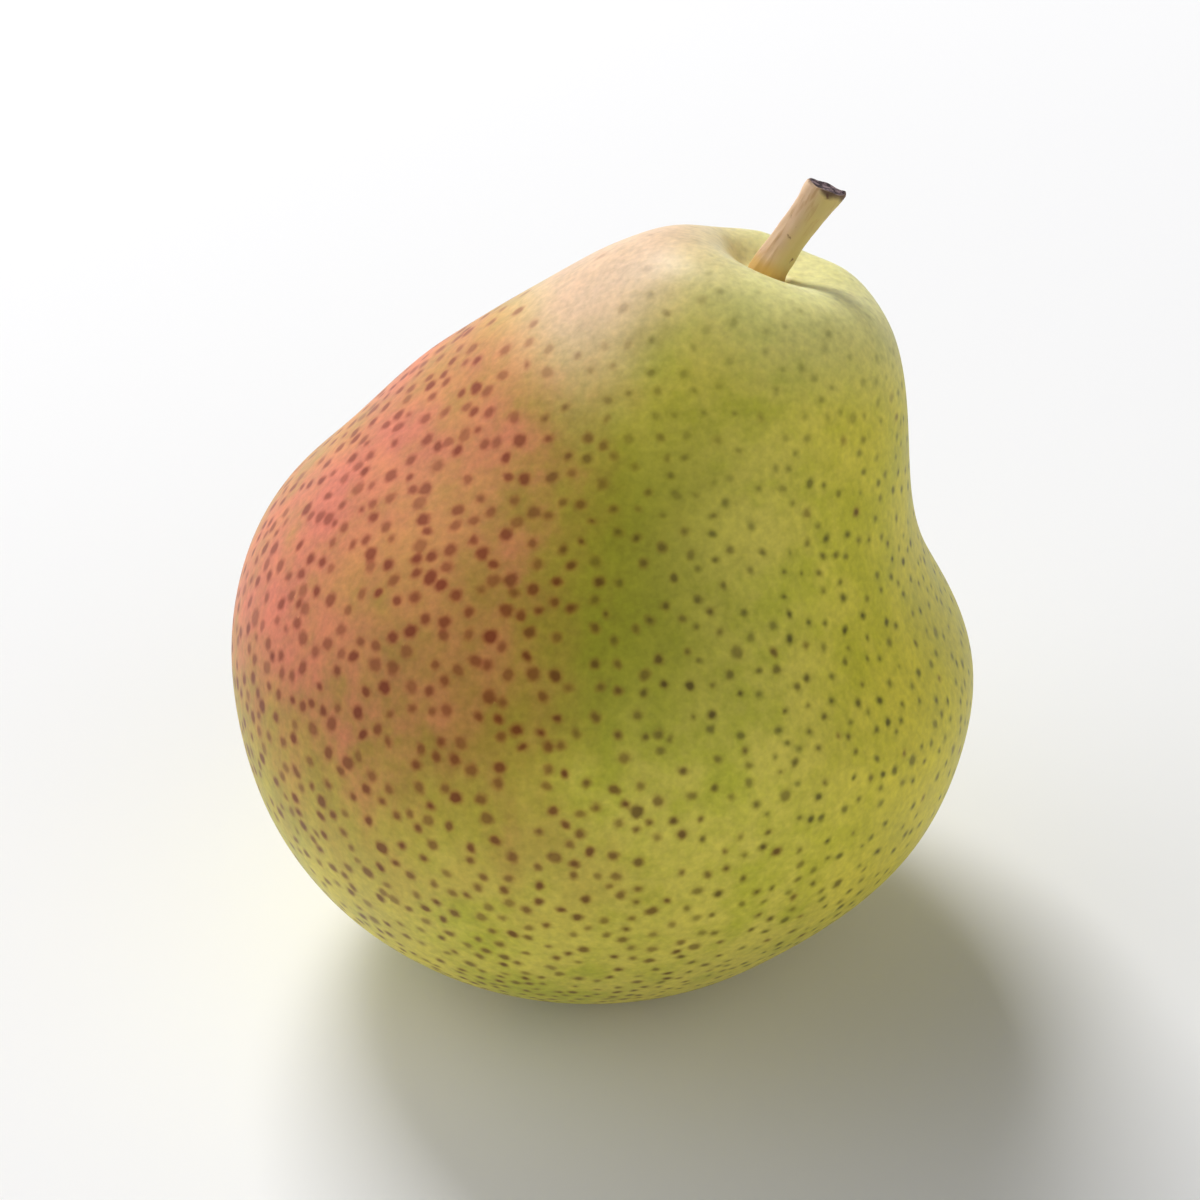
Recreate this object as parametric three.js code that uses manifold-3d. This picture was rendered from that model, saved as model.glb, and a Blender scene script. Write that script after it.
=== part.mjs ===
// A speckled dessert pear, as picked: the fruit, its woody stem and its dried calyx.
// The fruit rests tilted on a small flat spot beside its calyx basin.
// Its neck leans towards +X and a little to +Y.
// Millimetres, +Z up, origin on the surface below the middle of the bounding box.

import * as THREE from "three";
import Module from "manifold-3d";
import { mergeVertices } from "three/addons/utils/BufferGeometryUtils.js";

const wasm = await Module();
wasm.setup();

// Clearance that parts one piece from the next, and how close two vertices are to be one.
const PIECE_GAP = 0.3;
const WELD = 1e-3;

// Fruit, before it tilts: radius across the core line, and height along it.
// A pull is how far the outline runs on straight from such a place before it bends away.
const RIM_RADIUS = 8;
const RIM_PULL = 15;
const BELLY_RADIUS = 35.5;
const BELLY_HEIGHT = 32;
const BELLY_PULL_DOWN = 18;
const BELLY_PULL_UP = 12;
const NECK_RADIUS = 22.5;
const NECK_HEIGHT = 54;
const NECK_TAPER = 0.7;
const NECK_PULL_DOWN = 9;
const NECK_PULL_UP = 12;
const CREST_RADIUS = 8;
const CREST_HEIGHT = 73;
const CREST_PULL = 7;

// Facets round the fruit, and rows of them from one of those places to the next.
const FRUIT_SIDES = 72;
const BASIN_ROWS = 5;
const BELLY_ROWS = 18;
const NECK_ROWS = 10;
const CREST_ROWS = 10;
const CAVITY_ROWS = 6;

// Calyx end: a basin inside the rim, and the eye in its middle that holds the calyx.
const BASIN_DEPTH = 4.6;
const BASIN_PULL = 2.3;
const EYE_RADIUS = 2.9;
const EYE_DEPTH = 2.6;

// Core line from the calyx to the stem: tilted towards +X all the way, and bent back towards +Y at the top.
const CORE_BASE_DIRECTION = new THREE.Vector3(0.24, 0, 1).normalize();
const CORE_TOP = new THREE.Vector3(24.6, 5, 64);
const CORE_TOP_DIRECTION = new THREE.Vector3(0.44, 0.3, 1).normalize();
const CORE_PULL = 24;

// Flat spot under the fruit: how deep it is pressed in, and the height over which the skin rounds into it.
const SPOT_DEPTH = 0.9;
const SPOT_ROUNDING = 1.2;

// Uneven growth. Each swell stands out by size (or sinks, if negative) round one bearing and height.
// Bearings are in degrees from +X towards +Y, and spread is the height over which a swell fades.
const SWELLS = [
  { place: "slack above the left cheek", bearing: 170, height: 41, spread: 9, size: -2.8 },
  { place: "left shoulder", bearing: 170, height: 58, spread: 7, size: 1.5 },
  { place: "slack behind the stem", bearing: 140, height: 72, spread: 4, size: -1.8 },
  { place: "right shoulder", bearing: 0, height: 65, spread: 7, size: 0.6 },
  { place: "full right waist", bearing: 0, height: 45, spread: 6, size: 1.1 },
  { place: "slack under the right cheek", bearing: -10, height: 14, spread: 9, size: -1.4 },
];
const SWELL_FOCUS = 1.2;

// Stem end: a shallow cavity, and bumps of its lip and floor that rise by size (or sink, if negative).
const CAVITY_DEPTH = 1.2;
const CAVITY_LIP_PULL = 3;
const CAVITY_PULL = 1.5;
const SOCKET_DEPTH = 3.6;
const BUMPS = [
  { place: "pocket behind the stem", bearing: 125, radius: 3.8, spread: 2.4, size: -1.3 },
  { place: "fleshy lip behind the pocket", bearing: 100, radius: 8.5, spread: 3.5, size: 0.8 },
  { place: "raised right of the stem", bearing: 40, radius: 8.5, spread: 4, size: 0.8 },
];

// Stem: woody, thick at the foot, flared at the cut tip, and slanting on from the mouth of its socket.
// The shares of its length say where the foot begins and ends its taper, and where the flare begins.
const STEM_LENGTH = 12.6;
const STEM_RADIUS = 1.6;
const STEM_FOOT_RADIUS = 1.85;
const STEM_FOOT_FULL_SHARE = 0.2;
const STEM_FOOT_END_SHARE = 0.55;
const STEM_TIP_RADIUS = 1.95;
const STEM_FLARE_SHARE = 0.72;
const STEM_TIP_DISH = 0.4;
const STEM_SLANT = 2.1;
const STEM_SIDES = 20;
const STEM_RINGS = 14;

// Calyx: a small cup with five dried sepals that spread across the basin.
const CALYX_RADIUS = EYE_RADIUS - PIECE_GAP;
const CALYX_WALL = 0.8;
const CALYX_ROOF = 1;
const CALYX_HANG = 1.5;
const CALYX_SIDES = 20;
const SEPAL_COUNT = 5;
const SEPAL_LENGTH = 3.8;
const SEPAL_ROOT_WIDTH = 2.1;
const SEPAL_BULGE_WIDTH = 3.4;
const SEPAL_BULGE_REACH = 1.7;
const SEPAL_TIP_WIDTH = 0.5;
const SEPAL_THICKNESS = 0.7;
const SEPAL_SLOPE = 0.5;
const SEPAL_CURL = 1.7;
const SEPAL_ROWS = 6;

const { smoothstep, clamp, degToRad } = THREE.MathUtils;

// Strips a geometry to welded positions, so that it is one closed surface.
function welded(geometry) {
  geometry.deleteAttribute("normal");
  geometry.deleteAttribute("uv");
  return mergeVertices(geometry, WELD);
}

// Moves every vertex of a geometry to where shape(point) puts it.
function reshaped(geometry, shape) {
  const place = geometry.getAttribute("position");
  const point = new THREE.Vector3();
  for (let i = 0; i < place.count; i += 1) {
    shape(point.fromBufferAttribute(place, i));
    place.setXYZ(i, point.x, point.y, point.z);
  }
  return geometry;
}

// Turns an outline of (radius, height) points round the +Z axis.
function turned(outline, sides) {
  return new THREE.LatheGeometry(outline, sides).rotateX(Math.PI / 2);
}

// Even steps along a curve from one outline point to the next, leaving out the first.
function bend(steps, from, pullFrom, pullTo, to) {
  return new THREE.CubicBezierCurve(from, pullFrom, pullTo, to).getSpacedPoints(steps).slice(1);
}

// The closed outline of the fruit, from the roof of the eye round to the floor of the stem socket.
function fruitOutline() {
  const at = (radius, height) => new THREE.Vector2(radius, height);
  const past = (point, radius, height) => at(point.x + radius, point.y + height);
  const socketRadius = STEM_FOOT_RADIUS + PIECE_GAP;
  const eyeRoof = at(EYE_RADIUS, BASIN_DEPTH + EYE_DEPTH);
  const eye = at(EYE_RADIUS, BASIN_DEPTH);
  const rim = at(RIM_RADIUS, 0);
  const belly = at(BELLY_RADIUS, BELLY_HEIGHT);
  const neck = at(NECK_RADIUS, NECK_HEIGHT);
  const neckBelow = past(neck, NECK_PULL_DOWN * NECK_TAPER, -NECK_PULL_DOWN);
  const neckAbove = past(neck, -NECK_PULL_UP * NECK_TAPER, NECK_PULL_UP);
  const crest = at(CREST_RADIUS, CREST_HEIGHT);
  const socket = at(socketRadius, CREST_HEIGHT - CAVITY_DEPTH);
  const socketFloor = past(socket, 0, -SOCKET_DEPTH);
  return [
    at(0, eyeRoof.y),
    eyeRoof,
    eye,
    ...bend(BASIN_ROWS, eye, past(eye, BASIN_PULL, 0), past(rim, -BASIN_PULL, 0), rim),
    ...bend(BELLY_ROWS, rim, past(rim, RIM_PULL, 0), past(belly, 0, -BELLY_PULL_DOWN), belly),
    ...bend(NECK_ROWS, belly, past(belly, 0, BELLY_PULL_UP), neckBelow, neck),
    ...bend(CREST_ROWS, neck, neckAbove, past(crest, CREST_PULL, 0), crest),
    ...bend(CAVITY_ROWS, crest, past(crest, -CAVITY_LIP_PULL, 0), past(socket, CAVITY_PULL, 0), socket),
    socketFloor,
    at(0, socketFloor.y),
  ];
}

const core = new THREE.CubicBezierCurve3(
  new THREE.Vector3(0, 0, 0),
  CORE_BASE_DIRECTION.clone().multiplyScalar(CORE_PULL),
  CORE_TOP.clone().addScaledVector(CORE_TOP_DIRECTION, -CORE_PULL),
  CORE_TOP,
);
const CORE_LENGTH = core.getLength();

// Carries a point from round a straight upright core to its place round the tilted one.
function tilt(point) {
  const share = clamp(point.z / CORE_LENGTH, 0, 1);
  const along = core.getTangentAt(share);
  const across = new THREE.Vector3(1, 0, 0).addScaledVector(along, -along.x).normalize();
  const back = new THREE.Vector3().crossVectors(along, across);
  const { x, y, z } = point;
  return core
    .getPointAt(share, point)
    .addScaledVector(along, z - share * CORE_LENGTH)
    .addScaledVector(across, x)
    .addScaledVector(back, y);
}

// How freely the skin may swell at a point: not at all inside the basin or the stem socket.
function freedom(radius, height) {
  const low = smoothstep(radius, RIM_RADIUS, 2 * RIM_RADIUS) * (height < BELLY_HEIGHT ? 1 : 0);
  const high = smoothstep(radius, STEM_FOOT_RADIUS, CREST_RADIUS) * (height < BELLY_HEIGHT ? 0 : 1);
  return low + high;
}

// Pushes a point of the skin sideways by the swells.
function swell(point) {
  const radius = Math.hypot(point.x, point.y);
  const bearing = Math.atan2(point.y, point.x);
  let push = 0;
  for (const { bearing: facing, height, spread, size } of SWELLS) {
    const turn = Math.exp(SWELL_FOCUS * (Math.cos(bearing - degToRad(facing)) - 1));
    push += size * turn * Math.exp(-(((point.z - height) / spread) ** 2));
  }
  const grown = 1 + (freedom(radius, point.z) * push) / Math.max(radius, 1);
  point.x *= grown;
  point.y *= grown;
  return point;
}

// Lifts a point of the stem end by the bumps. The socket below its mouth stays true.
function lift(point) {
  const mouth = CREST_HEIGHT - CAVITY_DEPTH;
  const open = smoothstep(point.z, mouth - SOCKET_DEPTH / 2, mouth);
  let rise = 0;
  for (const { bearing, radius, spread, size } of BUMPS) {
    const away = Math.hypot(
      point.x - radius * Math.cos(degToRad(bearing)),
      point.y - radius * Math.sin(degToRad(bearing)),
    );
    rise += size * Math.exp(-((away / spread) ** 2));
  }
  point.z += open * rise;
  return point;
}

// The fruit in its tilt, before the flat spot is pressed in, and the height of the surface it rests on.
const roundFruit = reshaped(turned(fruitOutline(), FRUIT_SIDES), (point) => tilt(lift(swell(point))));
const roundBox = new THREE.Box3().setFromBufferAttribute(roundFruit.getAttribute("position"));
const GROUND = roundBox.min.z + SPOT_DEPTH;

// Presses the skin flat where it reaches below the ground, and rounds it into the spot just above.
function settle(point) {
  const share = clamp((point.z - GROUND) / SPOT_ROUNDING, 0, 1);
  if (share < 1) point.z = GROUND + SPOT_ROUNDING * share * share * (2 - share);
  return point;
}

function fruitGeometry() {
  return welded(reshaped(roundFruit, settle));
}

function stemGeometry() {
  const foot = CREST_HEIGHT - CAVITY_DEPTH - SOCKET_DEPTH + PIECE_GAP;
  const outline = [new THREE.Vector2(0, foot)];
  for (let ring = 0; ring <= STEM_RINGS; ring += 1) {
    const share = ring / STEM_RINGS;
    const tapered = smoothstep(share, STEM_FOOT_FULL_SHARE, STEM_FOOT_END_SHARE);
    const flared = smoothstep(share, STEM_FLARE_SHARE, 1);
    const below = THREE.MathUtils.lerp(STEM_FOOT_RADIUS, STEM_RADIUS, tapered);
    const radius = THREE.MathUtils.lerp(below, STEM_TIP_RADIUS, flared);
    outline.push(new THREE.Vector2(radius, foot + share * STEM_LENGTH));
  }
  outline.push(new THREE.Vector2(0, foot + STEM_LENGTH - STEM_TIP_DISH));
  const slanted = reshaped(turned(outline, STEM_SIDES), (point) => {
    const share = Math.max((point.z - foot - SOCKET_DEPTH) / (STEM_LENGTH - SOCKET_DEPTH), 0);
    point.x += STEM_SLANT * share;
    return tilt(point);
  });
  return welded(slanted);
}

// One dried sepal, lying along +X from the wall of the calyx cup and curling down to its pointed tip.
function sepalGeometry() {
  const root = SEPAL_ROOT_WIDTH / 2;
  const bulge = SEPAL_BULGE_WIDTH / 2;
  const tip = SEPAL_TIP_WIDTH / 2;
  const leaf = new THREE.Shape();
  leaf.moveTo(0, -root);
  leaf.quadraticCurveTo(SEPAL_BULGE_REACH, -bulge, SEPAL_LENGTH, -tip);
  leaf.lineTo(SEPAL_LENGTH, tip);
  leaf.quadraticCurveTo(SEPAL_BULGE_REACH, bulge, 0, root);
  const options = { depth: SEPAL_THICKNESS, bevelEnabled: false, curveSegments: SEPAL_ROWS };
  return reshaped(new THREE.ExtrudeGeometry(leaf, options), (point) => {
    const share = point.x / SEPAL_LENGTH;
    point.z -= SEPAL_SLOPE * share + SEPAL_CURL * share * share;
    point.x += CALYX_RADIUS - CALYX_WALL;
    return point;
  });
}

// A closed geometry as a solid that can be joined.
function solidOf(geometry) {
  const shell = welded(geometry);
  return new wasm.Manifold(
    new wasm.Mesh({
      numProp: 3,
      vertProperties: shell.getAttribute("position").array,
      triVerts: new Uint32Array(shell.index.array),
    }),
  );
}

// A joined solid as a geometry.
function geometryOf(solid) {
  const mesh = solid.getMesh();
  const geometry = new THREE.BufferGeometry();
  geometry.setAttribute("position", new THREE.BufferAttribute(new Float32Array(mesh.vertProperties), 3));
  geometry.setIndex(new THREE.BufferAttribute(new Uint32Array(mesh.triVerts), 1));
  return geometry;
}

// The calyx: a shallow cup in the eye, open below, with its sepals fused to the lower edge.
function calyxGeometry() {
  const roof = BASIN_DEPTH + EYE_DEPTH - PIECE_GAP;
  const hollow = roof - CALYX_ROOF;
  const lip = BASIN_DEPTH - CALYX_HANG;
  const inner = CALYX_RADIUS - CALYX_WALL;
  const cup = [
    new THREE.Vector2(0, hollow),
    new THREE.Vector2(inner, hollow),
    new THREE.Vector2(inner, lip),
    new THREE.Vector2(CALYX_RADIUS, lip),
    new THREE.Vector2(CALYX_RADIUS, roof),
    new THREE.Vector2(0, roof),
  ];
  let calyx = solidOf(turned(cup, CALYX_SIDES));
  for (let i = 0; i < SEPAL_COUNT; i += 1) {
    const sepal = sepalGeometry().translate(0, 0, lip).rotateZ((2 * Math.PI * i) / SEPAL_COUNT);
    calyx = calyx.add(solidOf(sepal));
  }
  return reshaped(geometryOf(calyx), tilt);
}

function piece(name, geometry, color, roughness) {
  const mesh = new THREE.Mesh(geometry, new THREE.MeshStandardMaterial({ color, roughness, metalness: 0 }));
  mesh.name = name;
  return mesh;
}

const pear = new THREE.Group();
pear.add(
  piece("fruit", fruitGeometry(), 0xb9b850, 0.45),
  piece("stem", stemGeometry(), 0xb89a55, 0.75),
  piece("calyx", calyxGeometry(), 0x3b2a1c, 0.9),
);
const middle = new THREE.Box3().setFromObject(pear).getCenter(new THREE.Vector3());
pear.position.set(-middle.x, -middle.y, -GROUND);

export default pear;
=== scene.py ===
"""A speckled dessert pear on a white table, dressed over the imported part.

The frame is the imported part's: metres, +Z up from the table. A length is in millimetres where its name
ends in _mm, and is turned to metres where it meets Blender.
"""

import logging
import math
from dataclasses import dataclass, field
from enum import Enum
from typing import ClassVar

import bmesh
import bpy
import numpy as np
from bmesh.types import BMVert, BMesh
from bpy.types import Material, Mesh, Node, NodeSocket, NodeTree, Object, bpy_prop_collection
from mathutils import Matrix, Vector, kdtree, noise

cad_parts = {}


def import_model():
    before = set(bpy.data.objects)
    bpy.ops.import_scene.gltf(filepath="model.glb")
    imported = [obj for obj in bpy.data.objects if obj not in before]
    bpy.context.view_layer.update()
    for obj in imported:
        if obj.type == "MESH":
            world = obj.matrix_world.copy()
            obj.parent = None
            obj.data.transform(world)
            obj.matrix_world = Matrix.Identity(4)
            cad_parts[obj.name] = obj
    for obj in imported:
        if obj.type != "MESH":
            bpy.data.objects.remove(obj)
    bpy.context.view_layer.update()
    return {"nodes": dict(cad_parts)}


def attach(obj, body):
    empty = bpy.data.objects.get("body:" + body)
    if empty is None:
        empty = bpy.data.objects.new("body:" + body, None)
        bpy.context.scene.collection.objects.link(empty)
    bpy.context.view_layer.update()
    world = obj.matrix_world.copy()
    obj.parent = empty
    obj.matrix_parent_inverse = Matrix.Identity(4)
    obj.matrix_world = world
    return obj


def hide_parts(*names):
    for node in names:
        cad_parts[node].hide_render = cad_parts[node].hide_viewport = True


LOG = logging.getLogger("pear")
MM = 0.001
# Wax, wood, dried leaf and laminate all bend light about this much.
ORGANIC_IOR = 1.45
BODY = "root"

# A Span is a least and a most, or where something begins and where it is full.
Span = tuple[float, float]
Triple = tuple[float, float, float]


class Slot(Enum):
    """The record's material slots."""

    SKIN = "skin"
    STEM_WOOD = "stem_wood"
    DRIED_CALYX = "dried_calyx"


class Part(Enum):
    """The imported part's nodes."""

    FRUIT = "fruit"
    STEM = "stem"
    CALYX = "calyx"


def linear(hex_colour: str) -> tuple[float, float, float, float]:
    """Turns an sRGB hex colour into the linear colour that a socket takes.

    Args:
        hex_colour: The colour as #RRGGBB.

    Returns:
        Red, green, blue and an alpha of 1.
    """
    shares = [int(hex_colour[i : i + 2], 16) / 255 for i in (1, 3, 5)]
    red, green, blue = [s / 12.92 if s <= 0.04045 else ((s + 0.055) / 1.055) ** 2.4 for s in shares]
    return red, green, blue, 1.0


def add_node(tree: NodeTree, kind: str, inputs: dict | None = None, **settings: object) -> Node:
    """Adds one shader node with its settings, its values and its links.

    Args:
        tree: The node tree of a material or of the world.
        kind: Blender's name for the kind of node, without its ShaderNode.
        inputs: By the input's name or number, a value, a socket to link from, or a node, which stands for
            its first output in use.
        settings: The node's own properties.

    Returns:
        The new node.
    """
    made = tree.nodes.new("ShaderNode" + kind)
    for name, value in settings.items():
        setattr(made, name, value)
    for name, value in (inputs or {}).items():
        if isinstance(value, Node):
            value = next(socket for socket in value.outputs if socket.enabled)
        if isinstance(value, NodeSocket):
            tree.links.new(value, made.inputs[name])
        else:
            made.inputs[name].default_value = value
    return made


def new_material(name: str) -> Material:
    """Makes a material with an empty node tree."""
    made = bpy.data.materials.new(name)
    made.use_nodes = True
    made.node_tree.nodes.clear()
    return made


def scale_for(size_mm: float) -> float:
    """The scale of a pattern on Object coordinates whose features are size_mm across."""
    return 1 / (size_mm * MM)


def fade(start: float, end: float, values: np.ndarray) -> np.ndarray:
    """Runs smoothly from 0 where values are at start to 1 where they are at end."""
    share = np.clip((values - start) / (end - start), 0, 1)
    return share * share * (3 - 2 * share)


def read(items: bpy_prop_collection, name: str, width: int, kind: type) -> np.ndarray:
    """Reads one property of all vertices, corners or faces of a mesh.

    Args:
        items: The vertices, corners or faces.
        name: The property.
        width: How many numbers each of them has.
        kind: The kind of number.

    Returns:
        A number for each, or a row of numbers.
    """
    values = np.zeros(len(items) * width, kind)
    items.foreach_get(name, values)
    return values.reshape(-1, width) if width > 1 else values


def places_mm(mesh: Mesh) -> np.ndarray:
    """Every vertex of a mesh as a row of x, y and z in millimetres."""
    return read(mesh.vertices, "co", 3, np.float32).astype(float) / MM


def standing(foot: Vector, across: Vector, along: Vector) -> Matrix:
    """The place and turn of a piece whose local +X is across and whose local +Z is along."""
    turned = Matrix((across, along.cross(across), along)).transposed()
    return Matrix.Translation(foot) @ turned.to_4x4()


def merged_copy(node: Object) -> BMesh:
    """Copies a CAD node's loose triangles into one welded shape of mostly four-sided faces.

    Args:
        node: The CAD node, whose own mesh stays as it is.

    Returns:
        The new shape.
    """
    shape = bmesh.new()
    shape.from_mesh(node.data)
    bmesh.ops.remove_doubles(shape, verts=shape.verts, dist=0.002 * MM)
    flat, square = math.radians(40), math.radians(60)
    bmesh.ops.join_triangles(
        shape, faces=shape.faces, angle_face_threshold=flat, angle_shape_threshold=square
    )
    return shape


def rounded_piece(name: str, shape: BMesh, levels: int) -> Object:
    """Makes an object of a shape, with its facets rounded off and its mesh final.

    Args:
        name: The piece's name.
        shape: The shape, which is freed.
        levels: How often each face is divided.

    Returns:
        The piece, at the origin.
    """
    mesh = bpy.data.meshes.new(name)
    shape.to_mesh(mesh)
    shape.free()
    piece = bpy.data.objects.new(name, mesh)
    bpy.context.scene.collection.objects.link(piece)
    rounding = piece.modifiers.new("rounding", "SUBSURF")
    rounding.levels = rounding.render_levels = levels
    bpy.context.view_layer.update()
    depsgraph = bpy.context.evaluated_depsgraph_get()
    piece.data = bpy.data.meshes.new_from_object(piece.evaluated_get(depsgraph), depsgraph=depsgraph)
    piece.data.name = name
    piece.modifiers.clear()
    piece.data.shade_smooth()
    return piece


def hand_over(piece: Object, part: Part) -> None:
    """Sets a finished piece in place of the CAD node that it stands for.

    Args:
        piece: The finished piece.
        part: The CAD node.
    """
    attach(piece, BODY)
    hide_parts(part.value)
    LOG.info("%s: %d faces, for node %s", piece.name, len(piece.data.polygons), part.value)


@dataclass(frozen=True)
class SkinSources:
    """What every layer of the skin reads: the tints (blush, crown and basin) and three sizes of noise."""

    tree: NodeTree
    place: NodeSocket
    tints: Node
    patches: Node
    clouds: Node
    grain: Node


@dataclass(frozen=True)
class WaxedSkin:
    """Skin of a ripening pear: thin, smooth and waxy, over pale flesh.

    The wax gives a wide, soft sheen with no sharp highlight, and the flesh lets a little light through,
    so shadows on it are soft and warm. The ground is yellow-green, clearer yellow on the side away from
    the sun, partly its own colour and partly painted reflected light, and the sunny side has a coral
    blush that breaks up into streaks at its edge.
    """

    green: str = "#C3C23A"
    yellow_green: str = "#D5C855"
    # deep_green_and_shade is partly the skin's own darker green and partly painted shade on the front of
    # the neck.
    deep_green_and_shade: str = "#9F9E26"
    # This yellow is partly the shade side's own clearer yellow and partly painted yellow light reflected
    # onto the right side.
    yellow_and_reflected_light: str = "#D2C41C"
    # The crown colours are partly the paler skin round the stem and partly painted sheen from the top
    # light; the sunned one is pinker on the lit left side.
    crown_and_sheen: str = "#EFE9A4"
    sunned_crown_and_sheen: str = "#E6C6A6"
    russet: str = "#8A6A34"
    tan: str = "#B4903E"
    coral: str = "#CE8C54"
    rose: str = "#D87862"
    olive_ring: str = "#84801A"
    brown_ring: str = "#8E5A1E"
    brick_ring: str = "#AE4630"
    olive_core: str = "#4E4A0A"
    brown_core: str = "#60320A"
    brick_core: str = "#863012"
    patch_mm: float = 17.0
    streak_mm: float = 3.2
    streak_stretch: float = 0.35
    cloud_mm: float = 5.0
    grain_mm: float = 0.7
    yellow_from_mm: float = 15.0
    yellow_full_mm: float = 34.0
    crown_turns_mm: Span = (17.0, 6.0)
    ring_edge_mm: float = 0.42
    ring_inset_mm: float = 0.2
    core_edge_mm: float = 0.3
    core_inset_mm: float = 0.1
    ragged_size_mm: float = 0.8
    ragged_mm: float = 0.45
    spot_cover: float = 0.45
    spot_sink: float = 0.35
    relief: float = 0.35
    relief_mm: float = 0.05
    sheen: float = 0.24
    flesh_depth_mm: float = 1.4
    flesh_glow: float = 0.22
    flesh_reach: Triple = (1.0, 0.7, 0.25)
    wax: float = 0.05
    wax_roughness: float = 0.3

    def material(self) -> Material:
        """Builds the skin."""
        made = new_material("waxed_pear_skin")
        tree = made.node_tree
        at = self.sources(tree)
        skin = self.grained(at, self.blushed(at, self.ground(at)))
        spots = 0.0
        for rank in range(Lenticels.ranks):
            look_source = add_node(tree, "Attribute", attribute_name=f"lenticel_look_{rank}")
            look = add_node(tree, "SeparateXYZ", {"Vector": look_source.outputs["Vector"]})
            near, core = self.spots(at, look, rank)
            skin = self.spotted(at, skin, look, near, core)
            spots = add_node(tree, "Math", {0: near, 1: spots}, operation="MAXIMUM")
        height = add_node(
            tree, "Math", {0: spots, 1: -self.spot_sink, 2: at.grain}, operation="MULTIPLY_ADD"
        )
        relief = add_node(
            tree, "Bump", {"Height": height, "Strength": self.relief, "Distance": self.relief_mm * MM}
        )
        roughness = add_node(
            tree,
            "MapRange",
            {"Value": at.clouds, "From Min": 0.3, "From Max": 0.7, "To Min": 0.4, "To Max": 0.5},
        )
        surface = add_node(
            tree,
            "BsdfPrincipled",
            {
                "Base Color": skin,
                "Roughness": roughness,
                "IOR": ORGANIC_IOR,
                "Subsurface Weight": self.flesh_glow,
                "Subsurface Radius": self.flesh_reach,
                "Subsurface Scale": self.flesh_depth_mm * MM,
                "Specular IOR Level": self.sheen,
                "Coat Weight": self.wax,
                "Coat Roughness": self.wax_roughness,
                "Normal": relief,
            },
        )
        add_node(tree, "OutputMaterial", {"Surface": surface})
        return made

    def sources(self, tree: NodeTree) -> SkinSources:
        """Adds what every layer of the skin reads.

        Args:
            tree: The skin's node tree.

        Returns:
            The sources.
        """
        place = add_node(tree, "TexCoord").outputs["Object"]
        tint_source = add_node(tree, "Attribute", attribute_name="tints")
        tints = add_node(tree, "SeparateXYZ", {"Vector": tint_source.outputs["Vector"]})
        noises = ((self.patch_mm, 3.0, 0.5), (self.cloud_mm, 4.0, 0.6), (self.grain_mm, 2.0, 0.5))
        shades = [
            add_node(
                tree,
                "TexNoise",
                {"Vector": place, "Scale": scale_for(size), "Detail": detail, "Roughness": roughness},
            )
            for size, detail, roughness in noises
        ]
        return SkinSources(tree, place, tints, *shades)

    def ground(self, at: SkinSources) -> Node:
        """Colours the skin before its blush.

        Args:
            at: What every layer of the skin reads.

        Returns:
            The ground colour.
        """
        mottled = add_node(at.tree, "Math", {0: at.patches, 1: at.clouds}, operation="ADD")
        # The band's deep green is partly painted shade on the front of the neck.
        band = add_node(at.tree, "Attribute", attribute_name="green_and_shade_band").outputs["Fac"]
        across = add_node(at.tree, "SeparateXYZ", {"Vector": at.place}).outputs["X"]
        yellow_from, yellow_full = self.yellow_from_mm * MM, self.yellow_full_mm * MM
        turn_from, turn_full = (turn * MM for turn in self.crown_turns_mm)
        # The yellow on the right side is partly its own colour and partly painted reflected light.
        ripeness, away_from_sun_and_reflection, sunward, rough_patch = (
            add_node(at.tree, "MapRange", rise, interpolation_type="SMOOTHSTEP")
            for rise in (
                {"Value": mottled, "From Min": 0.7, "From Max": 1.15},
                {"Value": across, "From Min": yellow_from, "From Max": yellow_full, "To Max": 0.75},
                {"Value": across, "From Min": turn_from, "From Max": turn_full},
                {"Value": at.clouds, "From Min": 0.35, "From Max": 0.6, "To Min": 0.2},
            )
        )
        russeting = add_node(
            at.tree, "Math", {0: rough_patch, 1: at.tints.outputs["Z"]}, operation="MULTIPLY"
        )
        # Painted sheen: the pale crown stands partly for the top light's sheen, and turns pinker on the
        # sunny side.
        crown_and_sheen = add_node(
            at.tree,
            "Mix",
            {0: sunward, 6: linear(self.crown_and_sheen), 7: linear(self.sunned_crown_and_sheen)},
            data_type="RGBA",
        )
        colour = linear(self.green)
        for share, over in (
            (ripeness, linear(self.yellow_green)),
            (band, linear(self.deep_green_and_shade)),
            (away_from_sun_and_reflection, linear(self.yellow_and_reflected_light)),
            (at.tints.outputs["Y"], crown_and_sheen),
            (russeting, linear(self.russet)),
        ):
            colour = add_node(at.tree, "Mix", {0: share, 6: colour, 7: over}, data_type="RGBA")
        return colour

    def blushed(self, at: SkinSources, ground: Node) -> Node:
        """Lays the blush of the sunny side over the ground.

        Args:
            at: What every layer of the skin reads.
            ground: The ground colour.

        Returns:
            The colour with its blush.
        """
        stretch = (1.0, 1.0, self.streak_stretch)
        upright = add_node(at.tree, "VectorMath", {0: at.place, 1: stretch}, operation="MULTIPLY")
        streaks = add_node(
            at.tree,
            "TexNoise",
            {"Vector": upright, "Scale": scale_for(self.streak_mm), "Detail": 3.0, "Roughness": 0.55},
        )
        broken = add_node(at.tree, "Math", {0: at.patches, 1: streaks}, operation="ADD")
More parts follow.
